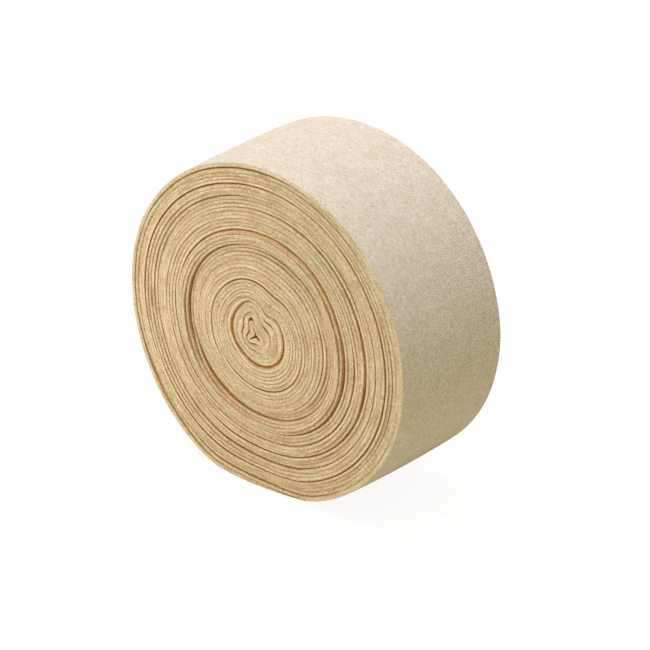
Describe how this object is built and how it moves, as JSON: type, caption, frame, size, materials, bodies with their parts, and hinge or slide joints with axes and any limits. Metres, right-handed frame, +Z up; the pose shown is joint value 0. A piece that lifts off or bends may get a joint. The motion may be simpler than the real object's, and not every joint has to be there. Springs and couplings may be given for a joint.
{
  "type": "stockinette roll",
  "caption": "Thick round roll of natural cotton tubular stockinette, wound flat from a heart-shaped folded core and standing on its rim.",
  "frame": {"origin": "middle of the roll's footprint on the surface it stands on", "axes": "+Z up, Y along the roll's own axis with the fronts of its turns facing -Y, +X to the right of that face"},
  "size_m": [0.183, 0.0782, 0.1795],
  "materials": {
    "knit_cotton": "matte unbleached knitted cotton"
  },
  "bodies": {
    "root": {"stockinette_roll": "knit_cotton"}
  },
  "joints": []
}
